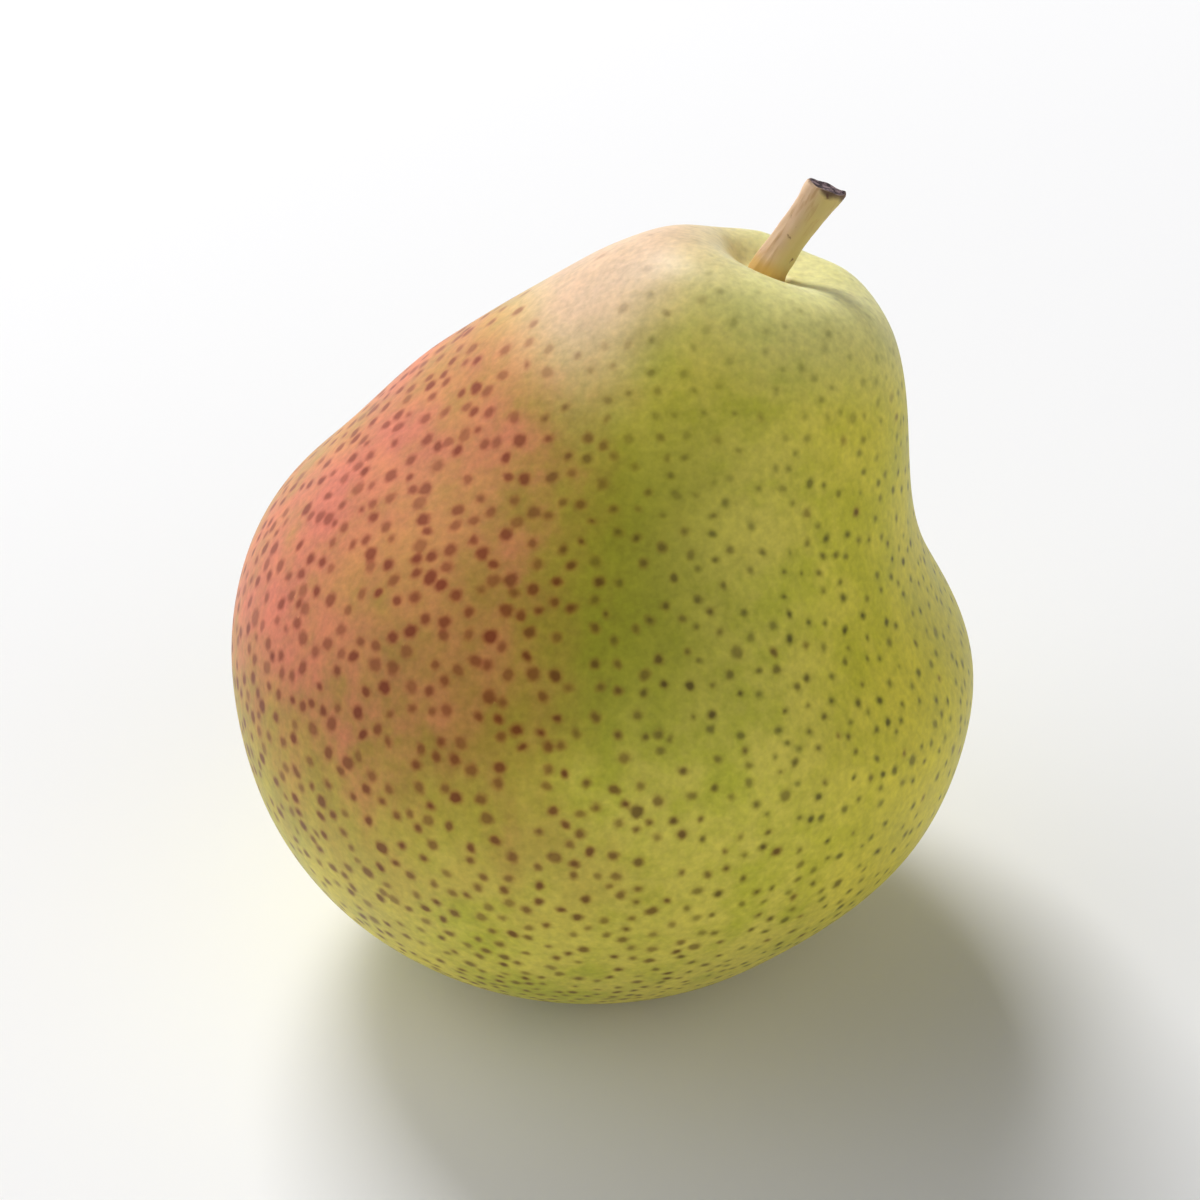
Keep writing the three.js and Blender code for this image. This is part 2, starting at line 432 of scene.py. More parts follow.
        # The blush thins under the pale crown, where painted sheen is laid.
        edge, pale = (
            add_node(at.tree, "MapRange", rise)
            for rise in (
                {"Value": broken, "From Min": 0.6, "From Max": 1.4, "To Min": -0.22, "To Max": 0.22},
                {"Value": at.tints.outputs["Y"], "From Max": 0.8, "To Min": 1.0, "To Max": 0.15},
            )
        )
        amount = add_node(at.tree, "Math", {0: at.tints.outputs["X"], 1: edge}, operation="ADD")
        clouded = add_node(at.tree, "Math", {0: at.clouds, 1: 0.9, 2: amount}, operation="MULTIPLY_ADD")
        spread, depth, warm_patch = (
            add_node(at.tree, "MapRange", rise, interpolation_type="SMOOTHSTEP")
            for rise in (
                {"Value": amount, "From Min": 0.05, "From Max": 0.85, "To Max": 0.95},
                {"Value": clouded, "From Min": 0.95, "From Max": 1.6},
                {"Value": at.patches, "From Min": 0.4, "From Max": 0.7},
            )
        )
        cover, warmth = (
            add_node(at.tree, "Math", {0: first, 1: second}, operation="MULTIPLY")
            for first, second in ((spread, pale), (warm_patch, depth))
        )
        reds = linear(self.tan)
        for share, red in ((depth, self.coral), (warmth, self.rose)):
            reds = add_node(at.tree, "Mix", {0: share, 6: reds, 7: linear(red)}, data_type="RGBA")
        return add_node(at.tree, "Mix", {0: cover, 6: ground, 7: reds}, data_type="RGBA")

    def grained(self, at: SkinSources, skin: Node) -> Node:
        """Lightens and darkens the skin a little, in clouds and in fine grain.

        Args:
            at: What every layer of the skin reads.
            skin: The colour so far.

        Returns:
            The mottled colour.
        """
        both = add_node(at.tree, "Math", {0: at.clouds, 1: at.grain}, operation="ADD")
        value = add_node(
            at.tree,
            "MapRange",
            {"Value": both, "From Min": 0.65, "From Max": 1.35, "To Min": 0.83, "To Max": 1.17},
        )
        return add_node(at.tree, "HueSaturation", {"Color": skin, "Value": value})

    def spots(self, at: SkinSources, look: Node, rank: int) -> tuple[Node, Node]:
        """Shapes the lenticels: a dark core in a paler ring that fades into the skin.

        Args:
            at: What every layer of the skin reads.
            look: The separated look of the lenticels: size, redness and depth.
            rank: 0 for the nearest lenticel to each place, 1 for the next.

        Returns:
            How much of a lenticel covers the skin, and how much of that is its core, from 0 to 1.
        """
        offset = add_node(at.tree, "Attribute", attribute_name=f"lenticel_offset_{rank}")
        away = add_node(at.tree, "VectorMath", {0: offset.outputs["Vector"]}, operation="LENGTH")
        ragged = add_node(
            at.tree,
            "TexNoise",
            {"Vector": at.place, "Scale": scale_for(self.ragged_size_mm), "Detail": 1.0},
        )
        ragged_away = add_node(
            at.tree, "Math", {0: ragged, 1: self.ragged_mm, 2: away}, operation="MULTIPLY_ADD"
        )
        inside = add_node(at.tree, "Math", {0: look.outputs["X"], 1: ragged_away}, operation="SUBTRACT")
        ring, core = (
            add_node(
                at.tree,
                "MapRange",
                {"Value": inside, "From Min": -edge - inset, "From Max": edge - inset, "To Max": most},
                interpolation_type="SMOOTHSTEP",
            )
            for edge, inset, most in (
                (self.ring_edge_mm, self.ring_inset_mm, self.spot_cover),
                (self.core_edge_mm, self.core_inset_mm, 1.0),
            )
        )
        both = add_node(at.tree, "Math", {0: core, 1: self.spot_cover, 2: ring}, operation="MULTIPLY_ADD")
        cover = add_node(at.tree, "Math", {0: both, 1: look.outputs["Z"]}, operation="MULTIPLY")
        return cover, core

    def spotted(self, at: SkinSources, skin: Node, look: Node, spots: Node, core: Node) -> Node:
        """Lays the lenticels over the skin: ringed brick-red in the blush, brown beside it, then olive.

        Args:
            at: What every layer of the skin reads.
            skin: The colour so far.
            look: The separated look of the lenticels: size, redness and depth.
            spots: How much of a lenticel covers the skin.
            core: How much of that is its core.

        Returns:
            The colour with these lenticels.
        """
        ring, middle = (
            add_node(
                at.tree,
                "Mix",
                {0: at.tints.outputs["X"], 6: linear(brown), 7: linear(brick)},
                data_type="RGBA",
            )
            for brown, brick in ((self.brown_ring, self.brick_ring), (self.brown_core, self.brick_core))
        )
        rings, cores = (
            add_node(at.tree, "Mix", {0: look.outputs["Y"], 6: linear(olive), 7: warm}, data_type="RGBA")
            for olive, warm in ((self.olive_ring, ring), (self.olive_core, middle))
        )
        dots = add_node(at.tree, "Mix", {0: core, 6: rings, 7: cores}, data_type="RGBA")
        return add_node(at.tree, "Mix", {0: spots, 6: skin, 7: dots}, data_type="RGBA")


@dataclass(frozen=True)
class StemBark:
    """Bark of a pear stem: dry, fibrous and matt, pinkish tan in the sun and ochre in the shade.

    The fibres run along the stem, and its foot is stained orange-brown where the flesh closes round it.
    """

    tan: str = "#E0BE9C"
    ochre: str = "#CDB874"
    fibre: str = "#B88C58"
    speck: str = "#6A3A1C"
    foot: str = "#D8AE5C"
    scorched: str = "#54382E"
    fibre_mm: float = 0.45
    fibre_stretch: float = 0.14
    blotch_mm: float = 1.6
    side_mm: Span = (-0.9, 1.0)
    foot_mm: Span = (5.0, 3.4)
    scorch_mm: Span = (0.1, 0.7)
    scorch_ragged_mm: float = 1.4
    relief: float = 0.5
    relief_mm: float = 0.08
    depth_mm: float = 0.4
    glow: float = 0.08
    reach: Triple = (1.0, 0.6, 0.3)
    roughness: float = 0.68

    def material(self, to_stem: Matrix, length_mm: float) -> Material:
        """Builds the bark.

        Args:
            to_stem: Where the stem's foot is and how it stands.
            length_mm: The stem's length.

        Returns:
            The material.
        """
        made = new_material("dry_stem_bark")
        tree = made.node_tree
        place = add_node(tree, "TexCoord").outputs["Object"]
        along = add_node(
            tree,
            "Mapping",
            {
                "Vector": place,
                "Location": tuple(to_stem.to_translation()),
                "Rotation": tuple(to_stem.to_euler()),
            },
            vector_type="TEXTURE",
        )
        axes = add_node(tree, "SeparateXYZ", {"Vector": along})
        stretch = (1.0, 1.0, self.fibre_stretch)
        drawn_out = add_node(tree, "VectorMath", {0: along, 1: stretch}, operation="MULTIPLY")
        fibres, blotches = (
            add_node(tree, "TexNoise", {"Vector": spot, "Scale": scale_for(size), "Detail": 3.0})
            for spot, size in ((drawn_out, self.fibre_mm), (place, self.blotch_mm))
        )
        uneven = add_node(
            tree,
            "Math",
            {0: blotches, 1: self.scorch_ragged_mm * MM, 2: axes.outputs["Z"]},
            operation="MULTIPLY_ADD",
        )
        sides, foot, scorch = (
            [edge * MM for edge in edges] for edges in (self.side_mm, self.foot_mm, self.scorch_mm)
        )
        tip = length_mm * MM
        colour = linear(self.tan)
        for value, start, end, most, over in (
            (axes.outputs["X"], *sides, 1.0, self.ochre),
            (fibres, 0.52, 0.72, 0.55, self.fibre),
            (blotches, 0.66, 0.72, 0.8, self.speck),
            (axes.outputs["Z"], *foot, 0.8, self.foot),
            (uneven, tip + scorch[0], tip + scorch[1], 0.9, self.scorched),
        ):
            share = add_node(
                tree,
                "MapRange",
                {"Value": value, "From Min": start, "From Max": end, "To Max": most},
                interpolation_type="SMOOTHSTEP",
            )
            colour = add_node(tree, "Mix", {0: share, 6: colour, 7: linear(over)}, data_type="RGBA")
        relief = add_node(
            tree, "Bump", {"Height": fibres, "Strength": self.relief, "Distance": self.relief_mm * MM}
        )
        surface = add_node(
            tree,
            "BsdfPrincipled",
            {
                "Base Color": colour,
                "Roughness": self.roughness,
                "IOR": ORGANIC_IOR,
                "Subsurface Weight": self.glow,
                "Subsurface Radius": self.reach,
                "Subsurface Scale": self.depth_mm * MM,
                "Normal": relief,
            },
        )
        add_node(tree, "OutputMaterial", {"Surface": surface})
        return made


@dataclass(frozen=True)
class DriedTissue:
    """Dried plant tissue: dark, rough and matt, with paler patches that noise lays over it.

    The patches run from nothing to most_pale as the noise goes from pale_from to pale_to.
    """

    name: str
    dark: str
    pale: str
    patch_mm: float
    patch_roughness: float
    pale_from: float
    pale_to: float
    most_pale: float
    relief: float
    relief_mm: float
    roughness: float

    def material(self) -> Material:
        """Builds the tissue."""
        made = new_material(self.name)
        tree = made.node_tree
        place = add_node(tree, "TexCoord").outputs["Object"]
        patches = add_node(
            tree,
            "TexNoise",
            {
                "Vector": place,
                "Scale": scale_for(self.patch_mm),
                "Detail": 4.0,
                "Roughness": self.patch_roughness,
            },
        )
        share = add_node(
            tree,
            "MapRange",
            {
                "Value": patches,
                "From Min": self.pale_from,
                "From Max": self.pale_to,
                "To Max": self.most_pale,
            },
            interpolation_type="SMOOTHSTEP",
        )
        colour = add_node(
            tree, "Mix", {0: share, 6: linear(self.dark), 7: linear(self.pale)}, data_type="RGBA"
        )
        relief = add_node(
            tree, "Bump", {"Height": patches, "Strength": self.relief, "Distance": self.relief_mm * MM}
        )
        surface = add_node(
            tree,
            "BsdfPrincipled",
            {"Base Color": colour, "Roughness": self.roughness, "IOR": ORGANIC_IOR, "Normal": relief},
        )
        add_node(tree, "OutputMaterial", {"Surface": surface})
        return made


# The cut end of the stem: rough, dark purple-brown pith with pinkish-grey patches of fibre.
DRIED_CUT = DriedTissue(
    name="dried_stem_cut",
    dark="#35242B",
    pale="#9C8488",
    patch_mm=0.7,
    patch_roughness=0.65,
    pale_from=0.46,
    pale_to=0.66,
    most_pale=1.0,
    relief=0.8,
    relief_mm=0.15,
    roughness=0.85,
)

# Sepals and stamens: papery and wrinkled, near black, with tan where they have bleached.
DRIED_SEPAL = DriedTissue(
    name="dried_sepal",
    dark="#2B1D14",
    pale="#8C6E48",
    patch_mm=0.6,
    patch_roughness=0.6,
    pale_from=0.45,
    pale_to=0.7,
    most_pale=0.85,
    relief=0.7,
    relief_mm=0.12,
    roughness=0.8,
)


@dataclass(frozen=True)
class WhiteTable:
    """Matt white laminate: even and near white, with no reflection that draws the eye."""

    white: str = "#F2F2F3"
    roughness: float = 0.6
    sheen: float = 0.2

    def material(self) -> Material:
        """Builds the table top."""
        made = new_material("matt_white_laminate")
        tree = made.node_tree
        colour = linear(self.white)
        looks = {"Base Color": colour, "Roughness": self.roughness, "Specular IOR Level": self.sheen}
        surface = add_node(tree, "BsdfPrincipled", {"IOR": ORGANIC_IOR, **looks})
        add_node(tree, "OutputMaterial", {"Surface": surface})
        return made


@dataclass
class Lenticels:
    """The breathing pores of the skin, scattered as small dots of uneven size and closeness."""

    ranks: ClassVar[int] = 2
    seed: int = 11
    closest_mm: float = 1.8
    plain_per_mm2: float = 0.235
    low_per_mm2: float = 0.38
    crown_per_mm2: float = 0.05
    grid_mm: float = 2.0
    low_mm: Span = (24.0, 4.0)
    room: Span = (0.58, 1.0)
    sun_mm: Span = (32.0, -4.0)
    sun_height_mm: float = 30.0
    sun_bend: float = 0.3
    radius_mm: Span = (0.34, 0.52)
    blush_adds_mm: Span = (0.04, 0.26)
    sun_adds_mm: float = 0.1
    foot_mm: Span = (20.0, 6.0)
    foot_takes_mm: float = 0.08
    crown_takes_mm: float = 0.06
    large_share: float = 0.05
    large: float = 1.25
    redness: Span = (-0.25, 0.3)
    sun_redness: float = 1.15
    least_redness: float = 0.05
    stray_share: float = 0.04
    stray_redness: float = 0.95
    depth: Span = (0.62, 1.0)
    crown_pales: float = 0.55
    shoulder_mm: Span = (50.0, 64.0)
    shoulder_pales: float = 0.45
    most_squeeze: float = 0.35

    def closeness(self, spots: np.ndarray, tints: np.ndarray) -> np.ndarray:
        """How many lenticels a square millimetre holds.

        Args:
            spots: Places on the skin, in millimetres.
            tints: Blush, crown and basin there.

        Returns:
            The number for each place.
        """
        low = fade(*self.low_mm, spots[:, 2])
        plain = self.plain_per_mm2 + low * (self.low_per_mm2 - self.plain_per_mm2)
        return plain + tints[:, 1] * (self.crown_per_mm2 - plain)

    def scatter(
        self, mesh: Mesh, tints: np.ndarray
    ) -> tuple[np.ndarray, np.ndarray, np.random.Generator]:
        """Scatters lenticels over a mesh, a few of them close enough to touch.

        Args:
            mesh: The fruit's final mesh.
            tints: Blush, crown and basin at each vertex.

        Returns:
            The middle of each lenticel in millimetres, the tints there, and the random source.
        """
        chance = np.random.default_rng(self.seed)
        mesh.calc_loop_triangles()
        corners = read(mesh.loop_triangles, "vertices", 3, np.int32)
        places = places_mm(mesh)
        first, second, third = (places[corners[:, i]] for i in range(3))
        area = np.linalg.norm(np.cross(second - first, third - first), axis=1) / 2
        middle_tints = tints[corners].mean(axis=1)
        weight = area * self.closeness((first + second + third) / 3, middle_tints)
        wanted = int(weight.sum())
        picked = chance.choice(len(weight), size=2 * wanted, p=weight / weight.sum())
        shares = np.sort(chance.random((2 * wanted, 2)), axis=1)
        mix = np.stack([shares[:, 0], shares[:, 1] - shares[:, 0], 1 - shares[:, 1]], axis=1)
        trial = np.einsum("ni,nij->nj", mix, places[corners[picked]])
        density = self.closeness(trial, middle_tints[picked])
        room = self.closest_mm * np.sqrt(self.plain_per_mm2 / density)
        room *= chance.uniform(*self.room, len(trial))
        cells: dict[tuple[int, int, int], list[int]] = {}
        kept: list[int] = []
        for i, spot in enumerate(trial):
            cell = tuple(int(c) for c in np.floor(spot / self.grid_mm))
            near = [
                j
                for x in (-1, 0, 1)
                for y in (-1, 0, 1)
                for z in (-1, 0, 1)
                for j in cells.get((cell[0] + x, cell[1] + y, cell[2] + z), ())
            ]
            if near and np.linalg.norm(trial[near] - spot, axis=1).min() < room[i]:
                continue
            cells.setdefault(cell, []).append(i)
            kept.append(i)
            if len(kept) == wanted:
                break
        LOG.info("lenticels: %d of %d tried", len(kept), len(trial))
        return trial[kept], middle_tints[picked[kept]], chance

    def write(self, mesh: Mesh, tints: np.ndarray) -> None:
        """Writes to each corner how it lies to its two nearest lenticels, and how those look.

        Args:
            mesh: The fruit's final mesh.
            tints: Blush, crown and basin at each vertex.
        """
        middles, there, chance = self.scatter(mesh, tints)
        count = len(middles)
        blush, crown_and_sheen = there[:, 0], there[:, 1]
        x, y, z = middles.T
        from_sun = x + self.sun_bend * np.abs(z - self.sun_height_mm)
        sunward = np.maximum(blush, fade(*self.sun_mm, from_sun))
        size = chance.uniform(*self.radius_mm, count) + blush * chance.uniform(*self.blush_adds_mm, count)
        size += self.sun_adds_mm * sunward - self.foot_takes_mm * fade(*self.foot_mm, z)
        size -= self.crown_takes_mm * crown_and_sheen
        size[chance.random(count) < self.large_share] *= self.large
        redness = sunward * self.sun_redness + chance.uniform(*self.redness, count)
        redness = np.clip(redness, self.least_redness, 1)
        redness[chance.random(count) < self.stray_share] = self.stray_redness
        # Lenticels fade under the pale crown with its painted sheen.
        depth = chance.uniform(*self.depth, count) * (1 - self.crown_pales * crown_and_sheen)
        depth *= 1 - self.shoulder_pales * fade(*self.shoulder_mm, z) * (1 - blush)
        looks = np.stack([size, redness, depth], axis=1)
        lean = chance.normal(size=(count, 3))
        lean /= np.linalg.norm(lean, axis=1)[:, None]
        squeeze = chance.uniform(0.0, self.most_squeeze, count)
        tree = kdtree.KDTree(count)
        for i, spot in enumerate(middles):
            tree.insert(spot, i)
        tree.balance()
        centres = read(mesh.polygons, "center", 3, np.float32) / MM
        nearest = [[n[1] for n in tree.find_n(c, self.ranks)] for c in centres]
        sides = read(mesh.polygons, "loop_total", 1, np.int32)
        places = places_mm(mesh)[read(mesh.loops, "vertex_index", 1, np.int32)]
        for rank in range(self.ranks):
            owner = np.repeat(np.array(nearest)[:, rank], sides)
            offset = places - middles[owner]
            drawn = (offset * lean[owner]).sum(axis=1) * squeeze[owner]
            offset += drawn[:, None] * lean[owner]
            rows = {f"lenticel_offset_{rank}": offset, f"lenticel_look_{rank}": looks[owner]}
            for name, values in rows.items():
                layer = mesh.attributes.new(name, "FLOAT_VECTOR", "CORNER")
                layer.data.foreach_set("vector", values.astype(np.float32).ravel())


@dataclass
class Stem:
    """The woody stem: fibrous bark, a flared tip and a rough dried cut."""

    node: Object
    bark: StemBark = StemBark()
    cut: DriedTissue = DRIED_CUT
    axis: Vector = field(default_factory=lambda: Vector((0.44, 0.3, 1)).normalized())
    levels: int = 3
    ridge_mm: float = 0.1
    tear_mm: float = 0.2
    fill_mm: float = 0.35
    rim_mm: float = 0.16
    cut_radius_mm: float = 1.72
    cut_height_mm: float = 1.2
    tip_height_mm: float = 1.4
    tip_sink_mm: float = 0.1
    foot_slice_mm: float = 0.3
    tip_slice_mm: float = 0.9
    sharp_rad: float = 0.8

    def ends(self) -> tuple[Vector, Vector]:
        """The middle of the foot and of the tip, in metres."""
        spots = sorted((v.co.copy() for v in self.node.data.vertices), key=self.axis.dot)
        low, high = self.axis.dot(spots[0]), self.axis.dot(spots[-1])
        foot = [p for p in spots if self.axis.dot(p) < low + self.foot_slice_mm * MM]
        tip = [p for p in spots if self.axis.dot(p) > high - self.tip_slice_mm * MM]
        return sum(foot, Vector()) / len(foot), sum(tip, Vector()) / len(tip)

    def stance(self) -> tuple[Matrix, float]:
        """Where the foot is and how the stem stands, as a matrix, and its length in millimetres."""
        foot, tip = self.ends()
        along = (tip - foot).normalized()
        across = (Vector((1, -0.25, 0)) - along * along.dot(Vector((1, -0.25, 0)))).normalized()
        return standing(foot, across, along), (tip - foot).length / MM

    def build(self) -> None:
        """Makes the stem and dresses it."""
        shape = merged_copy(self.node)
        sharp = [e for e in shape.edges if len(e.link_faces) == 2 and e.calc_face_angle() > self.sharp_rad]
        rim = {"offset": self.rim_mm * MM, "offset_type": "OFFSET", "segments": 2, "profile": 0.5}
        bmesh.ops.bevel(shape, geom=sharp, affect="EDGES", material=-1, clamp_overlap=True, **rim)
        piece = rounded_piece("woody_stem", shape, self.levels)
        to_stem, length_mm = self.stance()
        self.roughen(piece.data, to_stem, length_mm)
        piece.data.materials.clear()
        piece.data.materials.append(self.bark.material(to_stem, length_mm))
        piece.data.materials.append(self.cut.material())
        to_local = to_stem.inverted()
        for face in piece.data.polygons:
            middle = to_local @ face.center / MM
            inside = math.hypot(middle.x, middle.y) < self.cut_radius_mm
            face.material_index = int(inside and middle.z > length_mm - self.cut_height_mm)
        hand_over(piece, Part.STEM)

    def roughen(self, mesh: Mesh, to_stem: Matrix, length_mm: float) -> None:
        """Raises fibres along the bark and tears the rim of the cut.

        Args:
            mesh: The stem's mesh.
            to_stem: Where the foot is and how the stem stands.
            length_mm: The stem's length.
        """
        to_local = to_stem.inverted()
        for vertex in mesh.vertices:
            spot = to_local @ vertex.co / MM
            radius = max(math.hypot(spot.x, spot.y), 0.01)
            tipward = min(max((spot.z - length_mm + self.tip_height_mm) / self.tip_height_mm, 0), 1)
            ridges = noise.noise(Vector((spot.x * 1.5, spot.y * 1.5, spot.z * 0.22)))
            knots = noise.noise(Vector((spot.x * 0.7, spot.y * 0.7, spot.z * 0.7 + 9)))
            push = 1 + self.ridge_mm * (ridges + 0.8 * knots) / radius
            tear = noise.noise(Vector((spot.x * 1.1 + 5, spot.y * 1.1, spot.z * 0.15)))
            inward = min(max((self.cut_radius_mm - radius) / self.cut_radius_mm, 0), 1)
            filled = self.fill_mm * inward if spot.z > length_mm - 1 else 0
            torn = self.tear_mm * tipward * tear
            height = spot.z + torn + filled - self.tip_sink_mm * tipward
            vertex.co = to_stem @ (Vector((spot.x * push, spot.y * push, height)) * MM)
        mesh.update()


@dataclass
class Fruit:
    """The fruit: its flesh and skin, closed round the stem, with its blush and its lenticels.

    The blush's border stands at blush_x_mm at the waist, and leans by the first of leans above it and by
    the second below it.
    """

    node: Object
    stem: Stem
    skin: WaxedSkin = WaxedSkin()
    lenticels: Lenticels = field(default_factory=Lenticels)
    levels: int = 2
    socket_reach_mm: float = 2.6
    socket_radius_mm: float = 1.68
    socket_core_mm: float = 0.1
    socket_height_mm: float = 6.0
    lump_mm: float = 0.25
    lump_size_mm: float = 13.0
    swells_mm: tuple[tuple[Triple, float], ...] = (
        ((-14.5, 10.0, 57.0), 1.1),
        ((-23.5, 11.0, 50.0), -0.5),
    )
    swell_reach_mm: float = 6.5
    swell_narrowing: float = 0.5
    resting_mm: float = 2.0
    resting_blend_mm: float = 6.0
    waist_mm: float = 56.0
    leans: Span = (0.45, 0.25)
    blush_x_mm: float = -1.8
    wrap_per_mm: float = 0.012
    blush_mm: Span = (10.0, -10.0)
    blush_foot_mm: Span = (-37.0, 12.0)
    blush_height_mm: float = 47.0
    blush_rise: float = 0.2
    band_mm: Span = (20.0, 4.0)
    band_foot_mm: Span = (37.0, 50.0)
    band_top_mm: Span = (69.0, 56.0)
    band: float = 0.95
    crown_mm: Span = (19.0, 7.0)
    crown_centre_mm: float = 3.5
    crown_sun_mm: float = 10.5
    crown_turns_mm: Span = (12.0, -2.0)
    basin_mm: Triple = (-8.3, 0.07, 6.1)
    basin_reach_mm: Span = (9.5, 3.0)
    basin_russet: float = 0.8

    def build(self) -> None:
        """Makes the fruit and dresses it."""
        shape = merged_copy(self.node)
        self.close_socket(shape)
        piece = rounded_piece("fruit_skin", shape, self.levels)
        self.grow_uneven(piece.data)
        piece.data.materials.clear()
        piece.data.materials.append(self.skin.material())
        tints, band = self.tints(places_mm(piece.data))
        for name, kind, key, values in (
            ("tints", "FLOAT_VECTOR", "vector", tints),
            ("green_and_shade_band", "FLOAT", "value", band),
        ):
            layer = piece.data.attributes.new(name, kind, "POINT")
            layer.data.foreach_set(key, values.astype(np.float32).ravel())
        self.lenticels.write(piece.data, tints)
        hand_over(piece, Part.FRUIT)

    def close_socket(self, shape: BMesh) -> None:
        """Draws the wall of the stem's socket in, so that the flesh meets the bark."""
        foot, _ = self.stem.ends()
        axis = self.stem.axis
        for vertex in shape.verts:
            away = vertex.co - foot
            height = away.dot(axis)
            radial = away - height * axis
            wall = self.socket_core_mm * MM < radial.length < self.socket_reach_mm * MM
            if wall and abs(height) < self.socket_height_mm * MM:
                vertex.co = foot + height * axis + radial.normalized() * self.socket_radius_mm * MM

    def grow_uneven(self, mesh: Mesh) -> None:
        """Sinks the skin a little here and there, as growth leaves it, but not where it rests.

        A low swell and a low hollow, both drawn out along Y, make the left of the neck run straight.

        Args:
            mesh: The fruit's mesh.
        """
        normals = [v.normal.copy() for v in mesh.vertices]
        for vertex, normal in zip(mesh.vertices, normals):
            spot = vertex.co / MM
            free = min(max((spot.z - self.resting_mm) / self.resting_blend_mm, 0), 1)
            push = self.lump_mm / 2 * (noise.noise(spot / self.lump_size_mm) - 1) * free
            for place, size in self.swells_mm:
                away = (spot - Vector(place)) / self.swell_reach_mm
                away.y *= self.swell_narrowing
                push += size * math.exp(-away.length_squared)
            vertex.co += normal * push * MM
        mesh.update()

    def tints(self, places: np.ndarray) -> tuple[np.ndarray, np.ndarray]:
        """Says how strong the blush, the pale crown with its painted sheen, the russet basin and the green
        band with its painted shade are.

        Args:
            places: Places on the skin, in millimetres.

        Returns:
            A row of blush, crown and basin for each place, each from 0 to 1, and the deep green of the
            band that runs down beside the blush, partly painted shade on the front of the neck, likewise.
        """
        x, y, z = places.T
        above, below = self.leans
        lean = np.where(z > self.waist_mm, above * (z - self.waist_mm), below * (self.waist_mm - z))
        from_blush = x - self.blush_x_mm - lean - self.wrap_per_mm * y * y * (y > 0)
        side = fade(*self.blush_mm, from_blush)
        # The band is partly the skin's own darker green and partly painted shade on the neck's front, which
        # faces the viewer.
        band = self.band * fade(*self.band_mm, from_blush)
        band = band * fade(*self.band_foot_mm, z) * fade(*self.band_top_mm, z)
        low = fade(*self.blush_foot_mm, z - self.blush_height_mm - self.blush_rise * (x + 3))
        foot, _ = self.stem.ends()
        centre = np.array(foot + self.stem.axis * self.crown_centre_mm * MM) / MM
        from_stem = np.linalg.norm(places - centre, axis=1)
        from_basin = np.linalg.norm(places - np.array(self.basin_mm), axis=1)
        # The pale crown is partly the skin's own colour and partly painted sheen from the top light; it
        # reaches further on the sunny side, where the sheen is brightest.
        crown_and_sheen = fade(*self.crown_mm, from_stem - self.crown_sun_mm * fade(*self.crown_turns_mm, x))
        basin = self.basin_russet * fade(*self.basin_reach_mm, from_basin)
        return np.stack([side * low, crown_and_sheen, basin], axis=1), band


